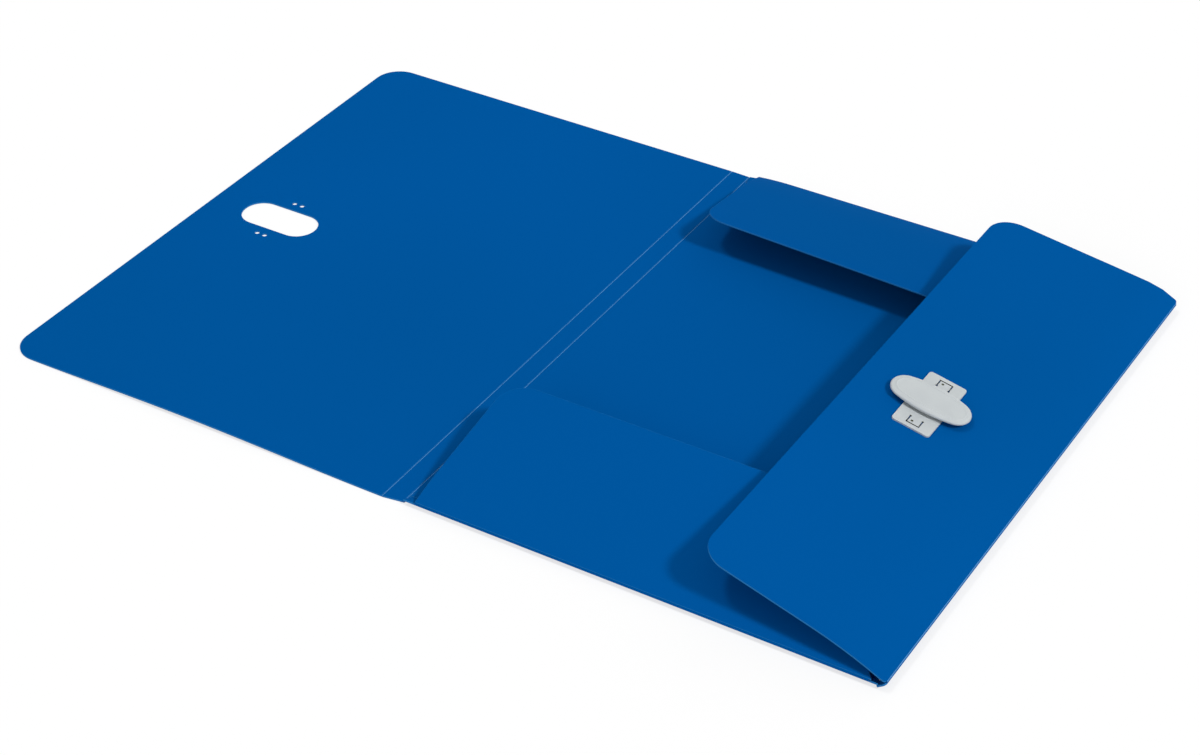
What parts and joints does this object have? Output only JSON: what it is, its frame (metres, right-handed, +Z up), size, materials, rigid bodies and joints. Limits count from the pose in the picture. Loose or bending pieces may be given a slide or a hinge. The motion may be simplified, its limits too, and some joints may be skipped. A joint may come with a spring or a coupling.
{
  "type": "document folder",
  "caption": "Opened A4 three-flap document folder of creased plastic sheet, with cover, spine, gusseted flaps and a turn-button that locks through a slot in the cover.",
  "frame": {"origin": "middle of the back panel's underside, on the table", "axes": "+Z up, +X from the spine towards the fore edge, +Y from the near edge to the far edge"},
  "size_m": [0.4625, 0.32, 0.0289],
  "materials": {
    "sheet": "satin",
    "crease_line": "satin",
    "closure": "matte"
  },
  "bodies": {
    "back": {"back_panel": "sheet", "spine_crease": "crease_line", "fore_gusset_crease": "crease_line", "top_gusset_crease": "crease_line", "bottom_gusset_crease": "crease_line"},
    "spine": {"spine_strip": "sheet", "cover_crease": "crease_line"},
    "cover": {"cover_panel": "sheet"},
    "fore_strip": {"fore_gusset": "sheet", "fore_flap_crease": "crease_line"},
    "fore_leaf": {"fore_flap": "sheet", "closure_base_plate": "closure", "closure_backing_plate": "closure"},
    "top_strip": {"top_gusset": "sheet", "top_flap_crease": "crease_line"},
    "top_leaf": {"top_flap": "sheet"},
    "bottom_strip": {"bottom_gusset": "sheet", "bottom_flap_crease": "crease_line"},
    "bottom_leaf": {"bottom_flap": "sheet"},
    "button": {"closure_button": "closure", "closure_retaining_ring": "closure"}
  },
  "joints": [
    {"name": "spine_fold", "type": "hinge", "parent": "back", "child": "spine", "pos_m": [-0.11525, 0, 0.0008], "axis": [0, 1, 0], "range_deg": [0, 90]},
    {"name": "cover_fold", "type": "hinge", "parent": "spine", "child": "cover", "pos_m": [-0.12575, 0, 0.0008], "axis": [0, 1, 0], "range_deg": [0, 90]},
    {"name": "fore_gusset_fold", "type": "hinge", "parent": "back", "child": "fore_strip", "pos_m": [0.11525, 0, 0.0008], "axis": [0, -1, 0], "range_deg": [0, 11.7]},
    {"name": "fore_flap_fold", "type": "hinge", "parent": "fore_strip", "child": "fore_leaf", "pos_m": [0.12039, 0, 0.00427], "axis": [0, 1, 0], "range_deg": [0, 150]},
    {"name": "top_gusset_fold", "type": "hinge", "parent": "back", "child": "top_strip", "pos_m": [0, 0.15377, 0.0008], "axis": [1, 0, 0], "range_deg": [0, 9]},
    {"name": "top_flap_fold", "type": "hinge", "parent": "top_strip", "child": "top_leaf", "pos_m": [0, 0.1596, 0.00292], "axis": [-1, 0, 0], "range_deg": [0, 150]},
    {"name": "bottom_gusset_fold", "type": "hinge", "parent": "back", "child": "bottom_strip", "pos_m": [0, -0.15377, 0.0008], "axis": [-1, 0, 0], "range_deg": [0, 9]},
    {"name": "bottom_flap_fold", "type": "hinge", "parent": "bottom_strip", "child": "bottom_leaf", "pos_m": [0, -0.1596, 0.00292], "axis": [1, 0, 0], "range_deg": [0, 150]},
    {"name": "button_turn", "type": "hinge", "parent": "fore_leaf", "child": "button", "pos_m": [0.06258, 0, 0.02115], "axis": [0.2079, 0, 0.9781], "range_deg": [0, 90]}
  ],
  "couplings": [
    {"joint": "cover_fold", "follows": "spine_fold", "ratio": 1},
    {"joint": "fore_gusset_fold", "follows": "spine_fold", "ratio": 0.13},
    {"joint": "top_gusset_fold", "follows": "spine_fold", "ratio": 0.1},
    {"joint": "bottom_gusset_fold", "follows": "spine_fold", "ratio": 0.1},
    {"joint": "top_flap_fold", "follows": "fore_flap_fold", "ratio": 1},
    {"joint": "bottom_flap_fold", "follows": "fore_flap_fold", "ratio": 1}
  ]
}
